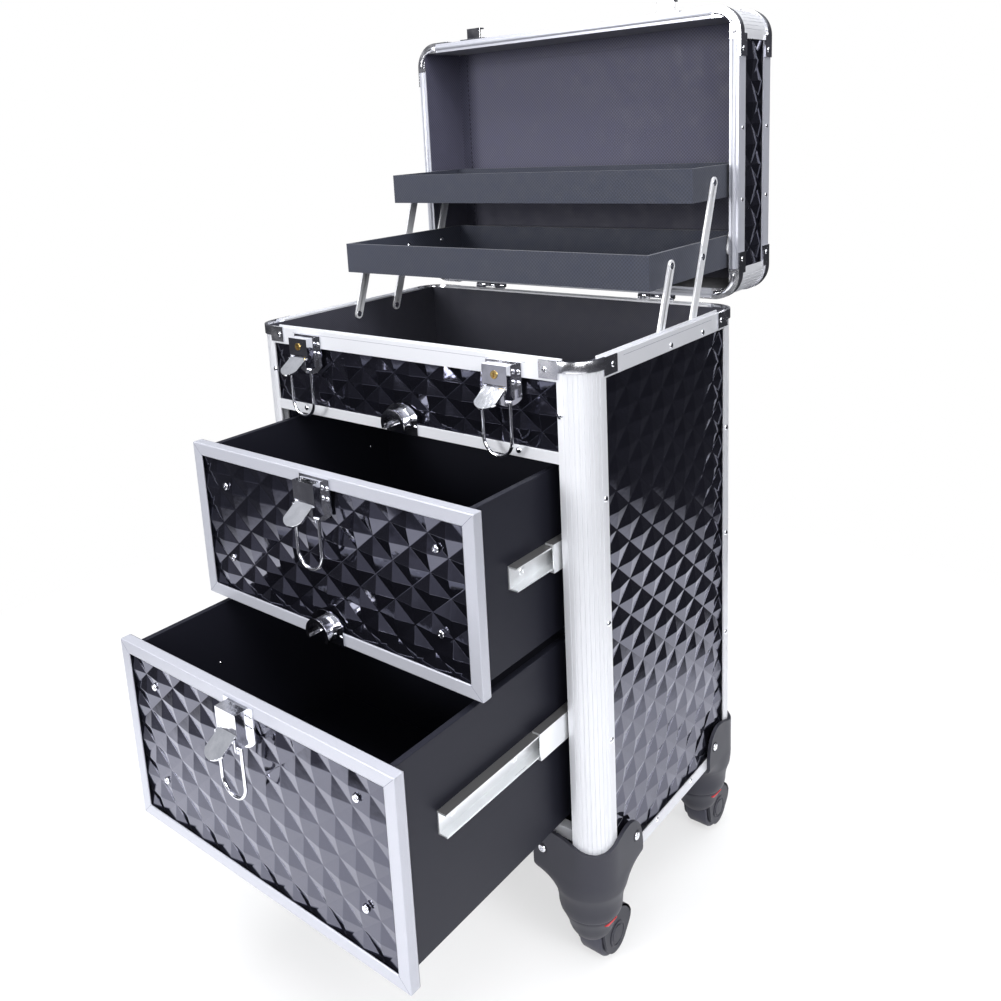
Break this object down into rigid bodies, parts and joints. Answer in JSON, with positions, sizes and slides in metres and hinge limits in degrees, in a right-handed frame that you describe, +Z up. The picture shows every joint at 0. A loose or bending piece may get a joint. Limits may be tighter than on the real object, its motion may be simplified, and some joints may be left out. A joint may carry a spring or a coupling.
{
  "type": "rolling makeup case",
  "caption": "Aluminium-framed rolling makeup case with diamond-relief panels, drawers on slides, cantilever trays, a hinged lid, draw latches and swivel casters.",
  "frame": {"origin": "on the floor under the middle of the opened case", "axes": "+X to the case's right as the picture shows it, +Y from the front to the back, +Z up"},
  "size_m": [0.3544, 0.5139, 0.766],
  "materials": {
    "aluminium": "bright satin extrusion",
    "black_skin": "glossy",
    "lined_board": "matte black lining",
    "drawer_board": "matte dark grey",
    "woven_lining": "woven",
    "chrome": "polished",
    "brass": "polished",
    "slide_steel": "zinc plated",
    "bracket_plastic": "satin",
    "wheel_plastic": "satin"
  },
  "bodies": {
    "carcass": {"corner_posts": "aluminium", "side_boards": "lined_board", "back_board": "lined_board", "front_boards": "lined_board", "base_board": "lined_board", "compartment_floor": "lined_board", "body_skins": "black_skin", "top_rim_rails": "aluminium", "lower_rails": "aluminium", "rim_corner_caps": "chrome", "runner_boards": "lined_board", "slide_channels": "slide_steel", "body_hinge_leaves": "chrome", "caster_brackets": "bracket_plastic", "lid_latch_plates": "chrome", "upper_drawer_catch": "chrome"},
    "lid": {"lid_top_board": "woven_lining", "lid_walls": "woven_lining", "lid_corner_posts": "aluminium", "lid_skins": "black_skin", "lid_trim": "aluminium", "lid_corner_caps": "chrome", "lid_catches": "chrome", "lid_hinge_leaves": "chrome"},
    "upper_drawer": {"upper_drawer_box": "drawer_board", "upper_drawer_skin": "black_skin", "upper_drawer_frame": "aluminium", "upper_latch_plate": "chrome", "upper_drawer_rails": "slide_steel", "lower_drawer_catch": "chrome"},
    "lower_drawer": {"lower_drawer_box": "drawer_board", "lower_drawer_skin": "black_skin", "lower_drawer_frame": "aluminium", "lower_latch_plate": "chrome", "lower_drawer_rails": "slide_steel"},
    "upper_slide_middles": {"upper_slide_middles": "slide_steel"},
    "lower_slide_middles": {"lower_slide_middles": "slide_steel"},
    "lower_tray": {"lower_tray": "woven_lining"},
    "upper_tray": {"upper_tray": "woven_lining"},
    "front_arms": {"front_arms": "aluminium"},
    "main_arms": {"main_arms": "aluminium"},
    "rear_arms": {"rear_arms": "aluminium"},
    "lid_lever_left": {"lid_lever_left": "chrome"},
    "lid_lever_right": {"lid_lever_right": "chrome"},
    "upper_lever": {"upper_lever": "chrome"},
    "lower_lever": {"lower_lever": "chrome"},
    "lid_loop_left": {"lid_loop_left": "chrome"},
    "lid_loop_right": {"lid_loop_right": "chrome"},
    "upper_loop": {"upper_loop": "chrome"},
    "lower_loop": {"lower_loop": "chrome"},
    "lock_left": {"lock_left": "brass"},
    "lock_right": {"lock_right": "brass"},
    "fork_front_left": {"fork_front_left": "bracket_plastic"},
    "fork_front_right": {"fork_front_right": "bracket_plastic"},
    "fork_rear_left": {"fork_rear_left": "bracket_plastic"},
    "fork_rear_right": {"fork_rear_right": "bracket_plastic"},
    "wheel_front_left": {"wheel_front_left": "wheel_plastic"},
    "wheel_front_right": {"wheel_front_right": "wheel_plastic"},
    "wheel_rear_left": {"wheel_rear_left": "wheel_plastic"},
    "wheel_rear_right": {"wheel_rear_right": "wheel_plastic"}
  },
  "joints": [
    {"name": "lid_hinge", "type": "hinge", "parent": "carcass", "child": "lid", "pos_m": [0, 0.19552, 0.51275], "axis": [1, 0, 0], "range_deg": [0, 90]},
    {"name": "main_arm_swing", "type": "hinge", "parent": "carcass", "child": "main_arms", "pos_m": [0, 0.12527, 0.499], "axis": [1, 0, 0], "range_deg": [0, 85]},
    {"name": "front_arm_swing", "type": "hinge", "parent": "carcass", "child": "front_arms", "pos_m": [0, 0.07177, 0.499], "axis": [1, 0, 0], "range_deg": [0, 85]},
    {"name": "lower_tray_level", "type": "hinge", "parent": "main_arms", "child": "lower_tray", "pos_m": [0, 0.14647, 0.55726], "axis": [1, 0, 0], "range_deg": [-85, 0]},
    {"name": "upper_tray_level", "type": "hinge", "parent": "main_arms", "child": "upper_tray", "pos_m": [0, 0.16768, 0.61552], "axis": [1, 0, 0], "range_deg": [-85, 0]},
    {"name": "rear_arm_swing", "type": "hinge", "parent": "lower_tray", "child": "rear_arms", "pos_m": [0, 0.19728, 0.55726], "axis": [1, 0, 0], "range_deg": [0, 85]},
    {"name": "upper_drawer_slide", "type": "slide", "parent": "carcass", "child": "upper_drawer", "axis": [0, -1, 0], "range_m": [-0.0954, 0.0866]},
    {"name": "lower_drawer_slide", "type": "slide", "parent": "carcass", "child": "lower_drawer", "axis": [0, -1, 0], "range_m": [-0.182, 0]},
    {"name": "upper_middle_slide", "type": "slide", "parent": "carcass", "child": "upper_slide_middles", "axis": [0, -1, 0], "range_m": [-0.0477, 0.0433]},
    {"name": "lower_middle_slide", "type": "slide", "parent": "carcass", "child": "lower_slide_middles", "axis": [0, -1, 0], "range_m": [-0.091, 0]},
    {"name": "lid_lever_left_pivot", "type": "hinge", "parent": "carcass", "child": "lid_lever_left", "pos_m": [-0.105, -0.05623, 0.488], "axis": [-1, 0, 0], "range_deg": [-56, 30]},
    {"name": "lid_loop_left_pivot", "type": "hinge", "parent": "carcass", "child": "lid_loop_left", "pos_m": [-0.105, -0.05773, 0.479], "axis": [-1, 0, 0], "range_deg": [0, 165]},
    {"name": "lid_lever_right_pivot", "type": "hinge", "parent": "carcass", "child": "lid_lever_right", "pos_m": [0.105, -0.05623, 0.488], "axis": [-1, 0, 0], "range_deg": [-56, 30]},
    {"name": "lid_loop_right_pivot", "type": "hinge", "parent": "carcass", "child": "lid_loop_right", "pos_m": [0.105, -0.05773, 0.479], "axis": [-1, 0, 0], "range_deg": [0, 165]},
    {"name": "upper_lever_pivot", "type": "hinge", "parent": "upper_drawer", "child": "upper_lever", "pos_m": [0, -0.15163, 0.4107], "axis": [-1, 0, 0], "range_deg": [-56, 30]},
    {"name": "upper_loop_pivot", "type": "hinge", "parent": "upper_drawer", "child": "upper_loop", "pos_m": [0, -0.15313, 0.4017], "axis": [-1, 0, 0], "range_deg": [0, 165]},
    {"name": "lower_lever_pivot", "type": "hinge", "parent": "lower_drawer", "child": "lower_lever", "pos_m": [0, -0.23823, 0.2729], "axis": [-1, 0, 0], "range_deg": [-56, 30]},
    {"name": "lower_loop_pivot", "type": "hinge", "parent": "lower_drawer", "child": "lower_loop", "pos_m": [0, -0.23973, 0.2639], "axis": [-1, 0, 0], "range_deg": [0, 165]},
    {"name": "lock_left_turn", "type": "hinge", "parent": "carcass", "child": "lock_left", "pos_m": [-0.105, -0.05873, 0.498], "axis": [0, -1, 0], "range_deg": [0, 90]},
    {"name": "lock_right_turn", "type": "hinge", "parent": "carcass", "child": "lock_right", "pos_m": [0.105, -0.05873, 0.498], "axis": [0, -1, 0], "range_deg": [0, 90]},
    {"name": "fork_front_left_swivel", "type": "hinge", "parent": "carcass", "child": "fork_front_left", "pos_m": [-0.148, -0.02073, 0.03], "axis": [0, 0, 1], "continuous": true},
    {"name": "wheel_front_left_spin", "type": "hinge", "parent": "fork_front_left", "child": "wheel_front_left", "pos_m": [-0.148, -0.00473, 0.02], "axis": [1, 0, 0], "continuous": true},
    {"name": "fork_rear_left_swivel", "type": "hinge", "parent": "carcass", "child": "fork_rear_left", "pos_m": [-0.148, 0.16727, 0.03], "axis": [0, 0, 1], "continuous": true},
    {"name": "wheel_rear_left_spin", "type": "hinge", "parent": "fork_rear_left", "child": "wheel_rear_left", "pos_m": [-0.148, 0.18327, 0.02], "axis": [1, 0, 0], "continuous": true},
    {"name": "fork_front_right_swivel", "type": "hinge", "parent": "carcass", "child": "fork_front_right", "pos_m": [0.148, -0.02073, 0.03], "axis": [0, 0, 1], "continuous": true},
    {"name": "wheel_front_right_spin", "type": "hinge", "parent": "fork_front_right", "child": "wheel_front_right", "pos_m": [0.148, -0.00473, 0.02], "axis": [1, 0, 0], "continuous": true},
    {"name": "fork_rear_right_swivel", "type": "hinge", "parent": "carcass", "child": "fork_rear_right", "pos_m": [0.148, 0.16727, 0.03], "axis": [0, 0, 1], "continuous": true},
    {"name": "wheel_rear_right_spin", "type": "hinge", "parent": "fork_rear_right", "child": "wheel_rear_right", "pos_m": [0.148, 0.18327, 0.02], "axis": [1, 0, 0], "continuous": true}
  ],
  "couplings": [
    {"joint": "main_arm_swing", "follows": "lid_hinge", "ratio": 0.94444},
    {"joint": "front_arm_swing", "follows": "lid_hinge", "ratio": 0.94444},
    {"joint": "lower_tray_level", "follows": "lid_hinge", "ratio": -0.94444},
    {"joint": "upper_tray_level", "follows": "lid_hinge", "ratio": -0.94444},
    {"joint": "rear_arm_swing", "follows": "lid_hinge", "ratio": 0.94444},
    {"joint": "upper_middle_slide", "follows": "upper_drawer_slide", "ratio": 0.5},
    {"joint": "lower_middle_slide", "follows": "lower_drawer_slide", "ratio": 0.5}
  ]
}
